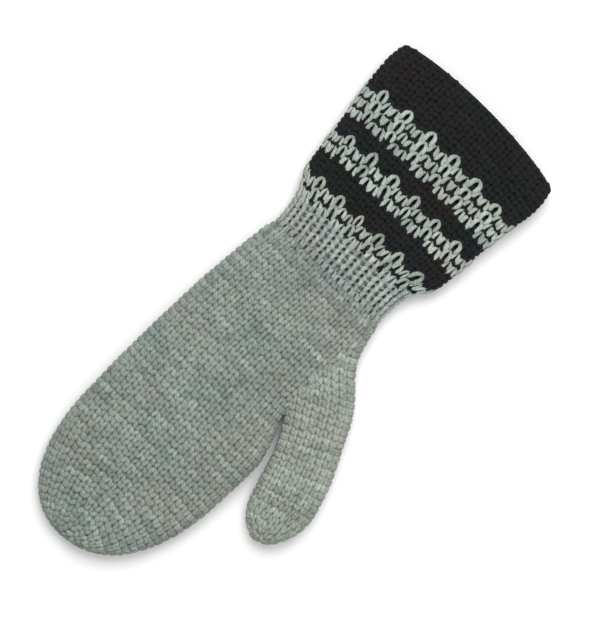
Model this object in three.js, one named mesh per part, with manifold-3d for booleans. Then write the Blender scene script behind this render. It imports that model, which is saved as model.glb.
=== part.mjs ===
// A hand-knitted mitten with a long flared cuff, lying flat with its thumb at the side.
// Millimetres. The tip of the hand points to -Y and the mouth of the cuff to +Y, the thumb is on
// the +X side, and +Z is up. The origin is on the surface it rests on, under the middle of its box.
import * as THREE from "three";
import { mergeVertices } from "three/addons/utils/BufferGeometryUtils.js";
import Module from "manifold-3d";

const wasm = await Module();
wasm.setup();

// Driving dimensions
const LENGTH = 320; // tip of the hand to the mouth of the cuff
const HAND_LENGTH = 196; // tip of the hand to the rib
const RIB_LENGTH = 29;
const KNIT_WALL = 3; // one layer of plain knitting
const CUFF_WALL = 3.8; // stranded knitting carries a second yarn behind
const GAP = 0.3; // clearance between neighbouring pieces

// Rib of the wrist: each rib is one knit and one purl stitch wide
const RIB_COUNT = 21;
const RIB_DEPTH = 1.7;
const RIB_WALL = 3;

// Closed end of the hand
const TIP_X = -19;
const TIP_LENGTH_LITTLE = 70; // from the tip to where the little finger's side is full width
const TIP_LENGTH_THUMB = 78; // the same on the thumb's side
const TIP_SQUARENESS = 2.25; // 2 is an ellipse, more is squarer
const TIP_ROUND = 15; // length over which the thickness rounds off to nothing

// Closed end of the thumb
const THUMB_TIP = { x: 60.4, fromTip: 71.6 };
const THUMB_TIP_SQUARENESS = 1.85;
const THUMB_TIP_ROUND = 0.5; // share of the end over which its thickness rounds off
const THUMB_TIP_THICK = 15;

// Mouth of the cuff: its edge is bowed outwards between the corners, and its lip is rounded
const MOUTH_BOW = 4.8;
const LIP = 1.2;

// Shape of a section that lies on a table: flat below, crowned above, round at the sides
const WIDEST_HEIGHT = 0.42; // height of the widest point, as a share of the thickness
const SIDE_POWER = 4;
const CROWN_POWER = 2.2;
const FLATTENING = 1.15; // over 1, the lower side is pressed flat

// The tube of hand, rib and cuff, a row for each section: distance from the tip of the hand,
// X of the edge on the little finger's side, X of the edge on the thumb's side, and thickness
const SECTIONS = [
  { fromTip: 0, little: -61.5, thumb: 31.0, thick: 15 },
  { fromTip: 35, little: -61.5, thumb: 31.0, thick: 18.5 },
  { fromTip: 70, little: -61.5, thumb: 31.0, thick: 21 },
  { fromTip: 91, little: -61.8, thumb: 31.8, thick: 22 },
  { fromTip: 104, little: -61.6, thumb: 31.2, thick: 22 },
  { fromTip: 113, little: -61.4, thumb: 28.6, thick: 21.8 },
  { fromTip: 122, little: -61.2, thumb: 24.6, thick: 21.5 },
  { fromTip: 134, little: -60.9, thumb: 21.8, thick: 21 },
  { fromTip: 150, little: -60.2, thumb: 27.0, thick: 20.5 },
  { fromTip: 166, little: -58.8, thumb: 28.6, thick: 19.6 },
  { fromTip: 182, little: -57.4, thumb: 26.2, thick: 18.6 },
  { fromTip: 196, little: -55.9, thumb: 26.0, thick: 17.8 },
  { fromTip: 205, little: -55.1, thumb: 23.8, thick: 17.4 },
  { fromTip: 213, little: -55.9, thumb: 23.8, thick: 17.4 },
  { fromTip: 225, little: -60.4, thumb: 27.4, thick: 18.4 },
  { fromTip: 236, little: -64.0, thumb: 33.4, thick: 20 },
  { fromTip: 253, little: -66.0, thumb: 34.8, thick: 21.4 },
  { fromTip: 269, little: -68.4, thumb: 35.6, thick: 22.4 },
  { fromTip: 285, little: -70.8, thumb: 37.6, thick: 23.2 },
  { fromTip: 301, little: -72.6, thumb: 39.8, thick: 23.6 },
  { fromTip: 311, little: -73.1, thumb: 40.4, thick: 23.4 },
  { fromTip: 320, little: -71.4, thumb: 38.8, thick: 22.4 },
];

// The thumb and its gusset, from the closed end to the wrist: each section runs straight from its
// outer edge to its inner edge, given by X and by distance from the tip of the hand
const THUMB_SECTIONS = [
  { outerX: 72.6, outerFromTip: 100.7, innerX: 39.0, innerFromTip: 90.0, thick: 17.0 },
  { outerX: 70.4, outerFromTip: 108.7, innerX: 36.6, innerFromTip: 97.0, thick: 17.6 },
  { outerX: 64.9, outerFromTip: 124.0, innerX: 32.3, innerFromTip: 111.8, thick: 18.2 },
  { outerX: 55.6, outerFromTip: 141.5, innerX: 23.9, innerFromTip: 127.7, thick: 18.4 },
  { outerX: 49.2, outerFromTip: 154.2, innerX: 18.0, innerFromTip: 137.3, thick: 18.4 },
  { outerX: 42.6, outerFromTip: 162.7, innerX: 7.0, innerFromTip: 143.4, thick: 18.2 },
  { outerX: 35.0, outerFromTip: 170.1, innerX: 0.0, innerFromTip: 154.6, thick: 17.9 },
  { outerX: 29.2, outerFromTip: 178.6, innerX: -4.0, innerFromTip: 169.6, thick: 17.4 },
  { outerX: 26.6, outerFromTip: 188.2, innerX: -6.0, innerFromTip: 183.6, thick: 17.0 },
  { outerX: 24.4, outerFromTip: 197.0, innerX: -8.0, innerFromTip: 197.0, thick: 16.6 },
];

// Line seen from above along which the gusset joins the hand, then up between hand and thumb
const GUSSET_LINE = [
  { x: 34.0, fromTip: 199.0 },
  { x: 26.2, fromTip: 192.0 },
  { x: 24.6, fromTip: 184.0 },
  { x: 22.8, fromTip: 167.0 },
  { x: 19.4, fromTip: 134.0 },
  { x: 23.6, fromTip: 127.0 },
  { x: 26.6, fromTip: 120.8 },
  { x: 31.1, fromTip: 111.8 },
  { x: 33.1, fromTip: 102.3 },
  { x: 34.4, fromTip: 94.0 },
  { x: 40.0, fromTip: 60.0 },
];

// Fineness of the meshes
const AROUND_HAND = 48;
const AROUND_THUMB = 32;
const AROUND_INSIDE = 32;
const AROUND_CUFF = 48;
const POINTS_PER_RIB = 4;
const SECTION_STEP = 11;
const TIP_STEPS = 7;
const THUMB_TIP_STEPS = 6;
const THUMB_STEPS = 14;
const LENGTH_SAMPLES = 180; // for walking round a section by its length
const SMALL = 0.01;

// Colours
const GREY_WOOL = new THREE.MeshStandardMaterial({ color: 0x848c84, roughness: 0.95, metalness: 0 });
const RIB_WOOL = new THREE.MeshStandardMaterial({ color: 0x79837e, roughness: 0.95, metalness: 0 });
const THUMB_WOOL = new THREE.MeshStandardMaterial({ color: 0x959c93, roughness: 0.95, metalness: 0 });
const DARK_WOOL = new THREE.MeshStandardMaterial({ color: 0x212322, roughness: 0.95, metalness: 0 });

// Y of a place given by its distance from the tip of the hand
function placeY(fromTip) {
  return fromTip - LENGTH / 2;
}

// Smooth curve through one column of a table: a cubic between rows, with no overshoot
function columnAt(rows, places, column, place) {
  const last = rows.length - 1;
  if (place <= places[0]) return rows[0][column];
  if (place >= places[last]) return rows[last][column];
  const rise = (i) => (rows[i + 1][column] - rows[i][column]) / (places[i + 1] - places[i]);
  const slope = (i) => {
    if (i === 0) return rise(0);
    if (i === last) return rise(last - 1);
    const before = rise(i - 1);
    const after = rise(i);
    return before * after <= 0 ? 0 : (2 * before * after) / (before + after);
  };
  const i = places.findIndex((p, k) => k < last && place < places[k + 1]);
  const span = places[i + 1] - places[i];
  const t = (place - places[i]) / span;
  const start = rows[i][column];
  const end = rows[i + 1][column];
  const bend = (1 - t) * (slope(i) * span - (end - start)) - t * (slope(i + 1) * span - (end - start));
  return start + (end - start) * t + t * (1 - t) * bend;
}

// Rises from 0 to 1 as share goes from 0 to 1, as the edge of a superellipse does
function roundOff(share, squareness) {
  const left = 1 - Math.min(Math.max(share, 0), 1);
  return Math.pow(1 - Math.pow(left, squareness), 1 / squareness);
}

// A point of a section: half is the vector from its middle to its edge, seen from above, and
// closing goes from 1, open, to 0, where the section has shrunk to its widest height
function sectionPoint(middle, half, thick, closing, angle) {
  const across = Math.cos(angle);
  const lift = Math.pow(Math.max(1 - Math.pow(Math.abs(across), SIDE_POWER), 0), 1 / CROWN_POWER);
  const widest = WIDEST_HEIGHT * thick;
  const above = widest + (thick - widest) * closing * lift;
  const below = widest * (1 - Math.min(FLATTENING * closing * lift, 1));
  const height = Math.sin(angle) >= 0 ? above : below;
  return new THREE.Vector3(middle.x + half.x * across, middle.y + half.y * across, height);
}

const SECTION_PLACES = SECTIONS.map((row) => row.fromTip);

// The outer surface of the tube of hand, rib and cuff
function handSurface(fromTip, angle) {
  const little = columnAt(SECTIONS, SECTION_PLACES, "little", fromTip);
  const thumb = columnAt(SECTIONS, SECTION_PLACES, "thumb", fromTip);
  const thick = columnAt(SECTIONS, SECTION_PLACES, "thick", fromTip);
  const left = TIP_X + (little - TIP_X) * roundOff(fromTip / TIP_LENGTH_LITTLE, TIP_SQUARENESS);
  const right = TIP_X + (thumb - TIP_X) * roundOff(fromTip / TIP_LENGTH_THUMB, TIP_SQUARENESS);
  const middle = new THREE.Vector2((left + right) / 2, placeY(fromTip));
  const half = new THREE.Vector2((right - left) / 2, 0);
  const point = sectionPoint(middle, half, thick, roundOff(fromTip / TIP_ROUND, 2), angle);
  const cuffStart = HAND_LENGTH + RIB_LENGTH;
  const bowShare = THREE.MathUtils.smoothstep(fromTip, cuffStart, LENGTH);
  point.y -= MOUTH_BOW * bowShare * Math.pow(Math.cos(angle), 2);
  return point;
}

const THUMB_PLACES = THUMB_SECTIONS.map((row, index) => index);

// The outer surface of the thumb and gusset. The place is the row's number in the table, and
// from -1 to 0 it runs through the closed end.
function thumbSurface(place, angle) {
  const row = Math.max(place, 0);
  const at = (column) => columnAt(THUMB_SECTIONS, THUMB_PLACES, column, row);
  const outer = new THREE.Vector2(at("outerX"), placeY(at("outerFromTip")));
  const inner = new THREE.Vector2(at("innerX"), placeY(at("innerFromTip")));
  const middle = outer.clone().add(inner).multiplyScalar(0.5);
  const half = outer.clone().sub(inner).multiplyScalar(0.5);
  if (place >= 0) return sectionPoint(middle, half, at("thick"), 1, angle);
  const share = place + 1;
  const tip = new THREE.Vector2(THUMB_TIP.x, placeY(THUMB_TIP.fromTip));
  middle.lerpVectors(tip, middle.clone(), share);
  half.multiplyScalar(roundOff(share, THUMB_TIP_SQUARENESS));
  const thick = THREE.MathUtils.lerp(THUMB_TIP_THICK, at("thick"), share);
  return sectionPoint(middle, half, thick, roundOff(share / THUMB_TIP_ROUND, 2), angle);
}

// A surface's point moved inwards by depth, square to the surface
function pointUnder(surface, place, angle, depth) {
  const point = surface(place, angle);
  const along = surface(place + SMALL, angle).sub(surface(place - SMALL, angle));
  const around = surface(place, angle + SMALL).sub(surface(place, angle - SMALL));
  const outward = along.cross(around).normalize();
  return point.addScaledVector(outward, -depth);
}

function ringUnder(surface, place, angles, depths) {
  return angles.map((angle, i) => pointUnder(surface, place, angle, depths[i]));
}

function evenAngles(count) {
  return Array.from({ length: count }, (unused, i) => (2 * Math.PI * i) / count);
}

// Angles of points that lie evenly by length round one section
function anglesByLength(surface, place, count) {
  const samples = evenAngles(LENGTH_SAMPLES);
  const lengths = [0];
  samples.forEach((angle, i) => {
    const next = i + 1 < LENGTH_SAMPLES ? samples[i + 1] : 2 * Math.PI;
    lengths.push(lengths[i] + surface(place, angle).distanceTo(surface(place, next)));
  });
  return Array.from({ length: count }, (unused, k) => {
    const wanted = (lengths[LENGTH_SAMPLES] * k) / count;
    const i = lengths.findIndex((length, n) => n > 0 && length > wanted) - 1;
    const share = (wanted - lengths[i]) / (lengths[i + 1] - lengths[i]);
    return ((i + share) * 2 * Math.PI) / LENGTH_SAMPLES;
  });
}

// A geometry from points and triangles
function geometryFrom(points, triangles) {
  const geometry = new THREE.BufferGeometry();
  const numbers = points.flatMap((point) => point.toArray());
  geometry.setAttribute("position", new THREE.Float32BufferAttribute(numbers, 3));
  geometry.setIndex(triangles.flat());
  return geometry;
}

// Triangles between rings of count points each, whose outer side shows when turned is false
function bandTriangles(firstPoint, rings, count, turned) {
  const triangles = [];
  for (let ring = 0; ring < rings - 1; ring += 1) {
    for (let i = 0; i < count; i += 1) {
      const a = firstPoint + ring * count + i;
      const b = firstPoint + ring * count + ((i + 1) % count);
      const c = a + count;
      const d = b + count;
      triangles.push(turned ? [a, b, c] : [a, c, b]);
      triangles.push(turned ? [c, b, d] : [c, d, b]);
    }
  }
  return triangles;
}

// A closed body through rings, with a point at each end
function closedBody(rings, startPoint, endPoint) {
  const count = rings[0].length;
  const points = rings.flat();
  const triangles = bandTriangles(0, rings.length, count, false);
  const start = points.length;
  const end = start + 1;
  const lastRing = (rings.length - 1) * count;
  for (let i = 0; i < count; i += 1) {
    const next = (i + 1) % count;
    triangles.push([start, i, next]);
    triangles.push([end, lastRing + next, lastRing + i]);
  }
  return geometryFrom([...points, startPoint, endPoint], triangles);
}

// A sleeve with a wall: an outer and an inner skin, joined at both open ends
function sleeve(outerRings, innerRings) {
  const count = outerRings[0].length;
  const points = [...outerRings.flat(), ...innerRings.flat()];
  const innerStart = outerRings.length * count;
  const triangles = [
    ...bandTriangles(0, outerRings.length, count, false),
    ...bandTriangles(innerStart, innerRings.length, count, true),
  ];
  const outerEnd = (outerRings.length - 1) * count;
  const innerEnd = innerStart + (innerRings.length - 1) * count;
  for (let i = 0; i < count; i += 1) {
    const next = (i + 1) % count;
    triangles.push([i, next, innerStart + i], [next, innerStart + next, innerStart + i]);
    triangles.push([outerEnd + i, innerEnd + i, outerEnd + next]);
    triangles.push([outerEnd + next, innerEnd + i, innerEnd + next]);
  }
  return geometryFrom(points, triangles);
}

function solidFrom(geometry) {
  const bare = geometry.clone();
  bare.deleteAttribute("normal");
  bare.deleteAttribute("uv");
  const merged = mergeVertices(bare);
  return new wasm.Manifold(
    new wasm.Mesh({
      numProp: 3,
      vertProperties: merged.attributes.position.array,
      triVerts: new Uint32Array(merged.index.array),
    }),
  );
}

function geometryOf(solid) {
  const mesh = solid.getMesh();
  const geometry = new THREE.BufferGeometry();
  geometry.setAttribute("position", new THREE.BufferAttribute(mesh.vertProperties, 3));
  geometry.setIndex(new THREE.BufferAttribute(mesh.triVerts, 1));
  return geometry;
}

// An upright block over an outline seen from above
function uprightBlock(corners) {
  const height = 2 * LENGTH;
  const shape = new THREE.Shape(corners);
  const geometry = new THREE.ExtrudeGeometry(shape, { depth: height, bevelEnabled: false });
  return solidFrom(geometry.translate(0, 0, -height / 2));
}

// Places along the hand: close together at the tip, then at even steps up to the end
function handPlaces(end) {
  const places = [];
  for (let i = 1; i <= TIP_STEPS; i += 1) {
    places.push(2 * TIP_ROUND * (1 - Math.cos((i * Math.PI) / (2 * TIP_STEPS))));
  }
  const steps = Math.round((end - 2 * TIP_ROUND) / SECTION_STEP);
  for (let i = 1; i <= steps; i += 1) {
    places.push(2 * TIP_ROUND + ((end - 2 * TIP_ROUND) * i) / steps);
  }
  return places;
}

function thumbPlaces() {
  const places = [];
  for (let i = 1; i < THUMB_TIP_STEPS; i += 1) {
    places.push(-Math.cos((i * Math.PI) / (2 * THUMB_TIP_STEPS)));
  }
  for (let i = 0; i <= THUMB_STEPS; i += 1) {
    places.push(((THUMB_SECTIONS.length - 1) * i) / THUMB_STEPS);
  }
  return places;
}

// A closed body under a surface by depth, from its closed end to its last section
function bodyUnder(surface, places, angles, tip, depth) {
  const depths = angles.map(() => depth);
  const rings = places.map((place) => ringUnder(surface, place, angles, depths));
  const lastRing = rings[rings.length - 1];
  const end = lastRing[0].clone().lerp(lastRing[angles.length / 2], 0.5);
  return closedBody(rings, tip, end);
}

function handBody(depth) {
  const beyondTheCut = HAND_LENGTH + (depth > 0 ? SECTION_STEP : SECTION_STEP / 2);
  const tip = new THREE.Vector3(TIP_X, placeY(depth), WIDEST_HEIGHT * SECTIONS[0].thick);
  const angles = evenAngles(depth > 0 ? AROUND_INSIDE : AROUND_HAND);
  return solidFrom(bodyUnder(handSurface, handPlaces(beyondTheCut), angles, tip, depth));
}

function thumbBody(depth) {
  const height = WIDEST_HEIGHT * THUMB_TIP_THICK;
  const tip = new THREE.Vector3(THUMB_TIP.x, placeY(THUMB_TIP.fromTip + depth), height);
  const angles = evenAngles(depth > 0 ? AROUND_INSIDE : AROUND_THUMB);
  return solidFrom(bodyUnder(thumbSurface, thumbPlaces(), angles, tip, depth));
}

// The hand and the thumb share one hollow, and are parted along the gusset line
function handAndThumb() {
  const wall = handBody(0)
    .add(thumbBody(0))
    .subtract(handBody(KNIT_WALL).add(thumbBody(KNIT_WALL)));
  const line = GUSSET_LINE.map(({ x, fromTip }) => new THREE.Vector2(x, placeY(fromTip)));
  const shifted = (side) =>
    line.map((point, i) => {
      const before = line[Math.max(i - 1, 0)];
      const after = line[Math.min(i + 1, line.length - 1)];
      const way = after.clone().sub(before).normalize();
      return new THREE.Vector2(point.x + (side * way.y * GAP) / 2, point.y - (side * way.x * GAP) / 2);
    });
  const farX = LENGTH / 2;
  const farAway = (point) => new THREE.Vector2(farX, point.y);
  const thumbSide = shifted(-1);
  const handSide = shifted(1);
  const last = line[line.length - 1];
  const thumbArea = uprightBlock([...thumbSide, farAway(last), farAway(line[0])]);
  const notHandArea = uprightBlock([...handSide, farAway(last), farAway(line[0])]);
  const edgeY = placeY(HAND_LENGTH) - GAP / 2;
  const upToTheRib = uprightBlock([
    new THREE.Vector2(-farX, -LENGTH),
    new THREE.Vector2(farX, -LENGTH),
    new THREE.Vector2(farX, edgeY),
    new THREE.Vector2(-farX, edgeY),
  ]);
  const trimmed = wall.intersect(upToTheRib);
  return {
    hand: geometryOf(trimmed.subtract(notHandArea)),
    thumb: geometryOf(trimmed.intersect(thumbArea)),
  };
}

// The rib: knit stitches stand out and purl stitches lie back, on both faces of the wall
function wristRib() {
  const count = RIB_COUNT * POINTS_PER_RIB;
  const start = HAND_LENGTH + GAP / 2;
  const end = HAND_LENGTH + RIB_LENGTH - GAP / 2;
  const steps = Math.round(RIB_LENGTH / SECTION_STEP) + 1;
  const grooves = Array.from({ length: count }, (unused, i) => {
    const inRib = i % POINTS_PER_RIB;
    return inRib < POINTS_PER_RIB / 2 ? 0 : RIB_DEPTH;
  });
  const backs = grooves.map((groove) => groove + RIB_WALL - RIB_DEPTH / 2);
  const outer = [];
  const inner = [];
  for (let i = 0; i <= steps; i += 1) {
    const place = start + ((end - start) * i) / steps;
    const angles = anglesByLength(handSurface, place, count);
    outer.push(ringUnder(handSurface, place, angles, grooves));
    inner.push(ringUnder(handSurface, place, angles, backs));
  }
  return sleeve(outer, inner);
}

// The cuff flares to its mouth, where the lip is rounded
function cuff() {
  const angles = evenAngles(AROUND_CUFF);
  const start = HAND_LENGTH + RIB_LENGTH + GAP / 2;
  const end = LENGTH - LIP;
  const steps = Math.round((end - start) / SECTION_STEP);
  const outer = [];
  const inner = [];
  const level = (depth) => angles.map(() => depth);
  for (let i = 0; i <= steps; i += 1) {
    const place = start + ((end - start) * i) / steps;
    outer.push(ringUnder(handSurface, place, angles, level(0)));
    inner.push(ringUnder(handSurface, place, angles, level(CUFF_WALL)));
  }
  outer.push(ringUnder(handSurface, LENGTH, angles, level(LIP)));
  inner.push(ringUnder(handSurface, LENGTH, angles, level(CUFF_WALL - LIP)));
  return sleeve(outer, inner);
}

function addPiece(group, name, geometry, material) {
  const mesh = new THREE.Mesh(geometry, material);
  mesh.name = name;
  group.add(mesh);
}

const mitten = new THREE.Group();
const body = handAndThumb();
addPiece(mitten, "cuff", cuff(), DARK_WOOL);
addPiece(mitten, "wrist_rib", wristRib(), RIB_WOOL);
addPiece(mitten, "hand", body.hand, GREY_WOOL);
addPiece(mitten, "thumb", body.thumb, THUMB_WOOL);

export default mitten;
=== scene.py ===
import math

import bmesh
import bpy
import numpy as np
from mathutils import Euler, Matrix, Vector, noise
from mathutils.bvhtree import BVHTree


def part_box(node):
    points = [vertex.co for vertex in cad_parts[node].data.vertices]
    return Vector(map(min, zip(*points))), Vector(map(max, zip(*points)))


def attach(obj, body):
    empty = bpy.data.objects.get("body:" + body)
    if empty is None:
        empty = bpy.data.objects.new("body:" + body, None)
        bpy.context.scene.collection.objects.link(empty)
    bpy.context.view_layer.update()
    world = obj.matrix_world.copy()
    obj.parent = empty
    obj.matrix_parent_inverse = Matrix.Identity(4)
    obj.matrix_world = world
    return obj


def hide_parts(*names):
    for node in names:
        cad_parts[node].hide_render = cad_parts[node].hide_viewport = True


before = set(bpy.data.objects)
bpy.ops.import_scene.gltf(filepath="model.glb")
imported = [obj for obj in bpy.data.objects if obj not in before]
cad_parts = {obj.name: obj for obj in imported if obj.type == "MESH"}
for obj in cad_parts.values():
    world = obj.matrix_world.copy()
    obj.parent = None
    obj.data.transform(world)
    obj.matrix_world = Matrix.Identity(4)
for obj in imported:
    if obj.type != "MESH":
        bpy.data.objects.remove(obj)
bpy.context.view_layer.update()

MM = 0.001
UP = Vector((0.0, 0.0, 1.0))

# Gauge: stitches round and rows along each part
WALES = 42
HAND_WALES = 40
THUMB_WALES = 20
CUFF_ROWS = 30
RIB_ROWS = 7
HAND_ROWS = 31  # from the rib to where the tip begins
TIP_ROWS = 24
THUMB_TIP_ROWS = 7
STITCH_WIDTH = 4.9 * MM
ROW_HEIGHT = 3.76 * MM

# Places along the mitten, as Y
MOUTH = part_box("cuff")[1].y
CUFF_END = (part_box("cuff")[0].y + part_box("wrist_rib")[1].y) / 2
RIB_END = (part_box("wrist_rib")[0].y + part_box("hand")[1].y) / 2
CUFF_KNIT_END = CUFF_END - 6.9 * MM  # the last rows in two colours lie on the rib's first part
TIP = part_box("hand")[0].y
TIP_START = TIP + 80 * MM
CROTCH = -26 * MM
FULL_HAND = -55 * MM  # the hand is at its full width from here to the tip

# Rows of the cuff bow towards the mouth between the folds
MOUTH_BOW = 4.8 * MM

# Seam between hand and gusset, seen from above, from the wrist to the crotch, as X and Y
SEAM = np.array([(34.0, 39.0), (26.2, 32.0), (24.6, 24.0), (22.8, 7.0), (19.4, -26.0)]) * MM

# Line that the thumb's sections stand square to, from the wrist to the thumb's tip, as X and Y
THUMB_SPINE = np.array([
    (17.0, 25.0), (20.0, 16.0), (25.5, 6.0), (31.0, -5.0), (35.5, -15.0),
    (39.8, -25.4), (48.6, -42.1), (55.8, -64.7), (60.4, -88.4),
]) * MM

# Colourwork of the cuff, one text for each row from the mouth down. Its three stitches repeat
# round the cuff, G is light wool and a dot is dark.
CHART = (
    ["..."] * 9
    + ["G..", ".GG"] * 3
    + ["..."] * 3
    + ["G..", ".GG"] * 2
    + ["..."] * 4
    + ["G..", ".GG"] * 2
)
REPEAT = 3

# How the outer skin is read from the solids
RAYS = 144
FLATNESS = 4.4  # spreads the rays over a section's width
REACH = 90 * MM
COLUMNS_PER_WALE = 4
SPARE_WALES = 2
TIP_STATIONS = 44
THUMB_TIP_STATIONS = 26
WIDEST_HEIGHT = 0.42  # height of a section's folds, as a share of its thickness
TIP_SINK = 12 * MM  # over this length before a tip, the folds sink to the tip's own height
RIM_INSET = 0.3 * MM  # how far inside the rim the first section is read
HAND_PAST_SEAM = 5 * MM  # what lies further past the seam isn't read as hand
THUMB_PAST_SEAM = 0.3 * MM
FACET_PASSES = 2  # how often the facets are evened out round a section
LENGTH_PASSES = 3  # and along a tube
SPINE_STEP = 1 * MM
SPINE_PASSES = 60


# Reading the skin

def tree_of(*names):
    """Search tree over the faces of CAD nodes."""
    points = []
    faces = []
    for name in names:
        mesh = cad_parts[name].data
        start = len(points)
        points.extend(vertex.co.copy() for vertex in mesh.vertices)
        faces.extend([start + i for i in face.vertices] for face in mesh.polygons)
    return BVHTree.FromPolygons(points, faces)


WHOLE = tree_of("cuff", "wrist_rib", "hand", "thumb")


def seam_x(y):
    """X of the gusset's seam at Y."""
    return float(np.interp(-y, -SEAM[:, 1], SEAM[:, 0]))


def round_section(tree, middle, across, keep):
    """Outer points round a section, from the fold that across points to and over the top first.
    None stands where a ray misses, or where keep refuses what it meets."""
    points = []
    for k in range(RAYS):
        hit = cast_from_outside(tree, middle, across, k)
        points.append(hit if hit is not None and keep(hit) else None)
    return points


def cast_from_outside(tree, middle, across, k):
    """Where the k-th ray towards the middle of a section first meets the knitting."""
    angle = 2 * math.pi * k / RAYS
    way = (across * (math.cos(angle) * FLATNESS) + UP * math.sin(angle)).normalized()
    return tree.ray_cast(middle + way * REACH, -way, REACH)[0]


def evened(run, passes):
    """Takes the facets out of a run of points, whose ends stay."""
    run = run.copy()
    for _ in range(passes):
        run[1:-1] = (run[:-2] + 2 * run[1:-1] + run[2:]) / 4
    return run


def evened_loop(run, passes):
    """Takes the facets out of a closed run of points."""
    for _ in range(passes):
        run = (np.roll(run, 1, axis=0) + 2 * run + np.roll(run, -1, axis=0)) / 4
    return run


def until_gap(points):
    """The points before the first that is missing."""
    found = []
    for point in points:
        if point is None:
            break
        found.append(point)
    return np.array(found)


def lengths_along(run):
    """How far along a run each of its points lies."""
    steps = np.linalg.norm(np.diff(run, axis=0), axis=1)
    return np.concatenate([[0.0], np.cumsum(steps)])


class Section:
    """One outline of the skin, whose places are distances from its fold: positive over the top,
    negative underneath. Where the gusset leaves the hand it is open, and has no length round."""

    def __init__(self, points):
        self.closed = all(point is not None for point in points)
        if self.closed:
            loop = evened_loop(np.array(points), FACET_PASSES)
            self.over = np.vstack([loop, loop[:1]])
            self.over_lengths = lengths_along(self.over)
            self.round = self.over_lengths[-1]
        else:
            self.over = evened(until_gap(points), FACET_PASSES)
            self.over_lengths = lengths_along(self.over)
            self.under = evened(until_gap([points[0]] + points[:0:-1]), FACET_PASSES)
            self.under_lengths = lengths_along(self.under)
            self.round = math.nan

    def at(self, distance):
        if self.closed:
            return self.along(self.over, self.over_lengths, distance % self.round)
        if distance >= 0:
            return self.along(self.over, self.over_lengths, distance)
        return self.along(self.under, self.under_lengths, -distance)

    @staticmethod
    def along(run, lengths, distance):
        """A place on a run, which goes straight on past its end."""
        if distance > lengths[-1]:
            way = run[-1] - run[-3]
            return run[-1] + way / np.linalg.norm(way) * (distance - lengths[-1])
        return np.array([np.interp(distance, lengths, run[:, axis]) for axis in range(3)])


class Skin:
    """The outer skin of a tube as a grid of points: half rows along it, parts of wales round it."""

    def __init__(self, wales, turn):
        self.wales = wales
        self.turn = turn
        self.half = wales // 2 + SPARE_WALES
        count = self.half * COLUMNS_PER_WALE
        self.columns = np.arange(-count, count + 1) / COLUMNS_PER_WALE
        self.grid = None
        self.limits = None

    def at(self, row, wale):
        """Point at a row and a wale, both of which may be fractions."""
        down = min(max(row * 2, 0), len(self.grid) - 1.001)
        over = min(max((wale + self.half) * COLUMNS_PER_WALE, 0), len(self.columns) - 1.001)
        j, i = int(down), int(over)
        below, beside = down - j, over - i
        near = self.grid[j, i] * (1 - beside) + self.grid[j, i + 1] * beside
        far = self.grid[j + 1, i] * (1 - beside) + self.grid[j + 1, i + 1] * beside
        return near * (1 - below) + far * below

    def frame_at(self, row, wale, width=1.0):
        """Point, way along the wale, way outwards, and the lengths of one wale and one row."""
        point = self.at(row, wale)
        along = self.at(row + 0.5, wale) - self.at(row - 0.5, wale)
        around = (self.at(row, wale + 0.5) - self.at(row, wale - 0.5)) * width
        outward = np.cross(along, around) * self.turn
        outward = outward / max(np.linalg.norm(outward), 1e-12)
        return point, along, outward, np.linalg.norm(around), np.linalg.norm(along)

    def limit_at(self, row):
        """The furthest wale from the fold that a row has room for."""
        return float(np.interp(row * 2, np.arange(len(self.limits)), self.limits))

    def rows_of(self, sections, widths):
        """The points of every column on each section, whose wales have the given widths."""
        rows = []
        for section, width in zip(sections, widths):
            rows.append([section.at(column * width) for column in self.columns])
        return evened(np.array(rows), LENGTH_PASSES)


def tip_grid(grid, pole, rows):
    """Half rows from the last full section to the pole, evenly along each wale."""
    tip = np.concatenate([grid, np.broadcast_to(pole, (1,) + grid.shape[1:])])
    shares = np.arange(1, rows * 2 + 1) / (rows * 2)
    result = np.zeros((rows * 2,) + grid.shape[1:])
    for i in range(grid.shape[1]):
        lengths = lengths_along(tip[:, i])
        for axis in range(3):
            result[:, i, axis] = np.interp(shares * lengths[-1], lengths, tip[:, i, axis])
    return result


def row_y(row):
    """Y of a row of the body, counted from the mouth, in front of the tip."""
    rows = [0, CUFF_ROWS, CUFF_ROWS + RIB_ROWS, CUFF_ROWS + RIB_ROWS + HAND_ROWS]
    return float(np.interp(row, rows, [MOUTH, CUFF_KNIT_END, RIB_END, TIP_START]))


def bowed_section(tree, middle, across, keep, bow):
    """A section whose sides lie back from its middle by bow, as the rows of the cuff do."""
    flat = round_section(tree, middle - Vector((0.0, bow, 0.0)), across, keep)
    if bow == 0:
        return flat
    sides = [point.x for point in flat]
    half = (max(sides) - min(sides)) / 2
    centre = (max(sides) + min(sides)) / 2
    points = []
    for k, point in enumerate(flat):
        back = bow * min(((point.x - centre) / half) ** 2, 1.0)
        points.append(cast_from_outside(tree, middle - Vector((0.0, back, 0.0)), across, k) or point)
    return points


def tip_of(node):
    """The vertex of a CAD node that lies nearest to the tip's end of the mitten."""
    return min(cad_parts[node].data.vertices, key=lambda vertex: vertex.co.y).co


def body_sections(places):
    """Sections of cuff, rib and hand at places along Y."""
    hand = tree_of("hand")
    tip = tip_of("hand")
    level = WIDEST_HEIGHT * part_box("hand")[1].z
    across = Vector((-1.0, 0.0, 0.0))
    sections = []
    for y in places:
        height = np.interp(y, [TIP, TIP + TIP_SINK], [tip.z, level])
        middle = Vector((tip.x, y, height))
        share = min(max((y - CUFF_END) / (MOUTH - CUFF_END), 0.0), 1.0)
        bow = MOUTH_BOW * share * share * (3 - 2 * share)
        keep = near_hand if CROTCH < y < RIB_END else anything
        tree = WHOLE if y > CROTCH else hand
        sections.append(Section(bowed_section(tree, middle, across, keep, bow)))
    return sections


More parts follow.
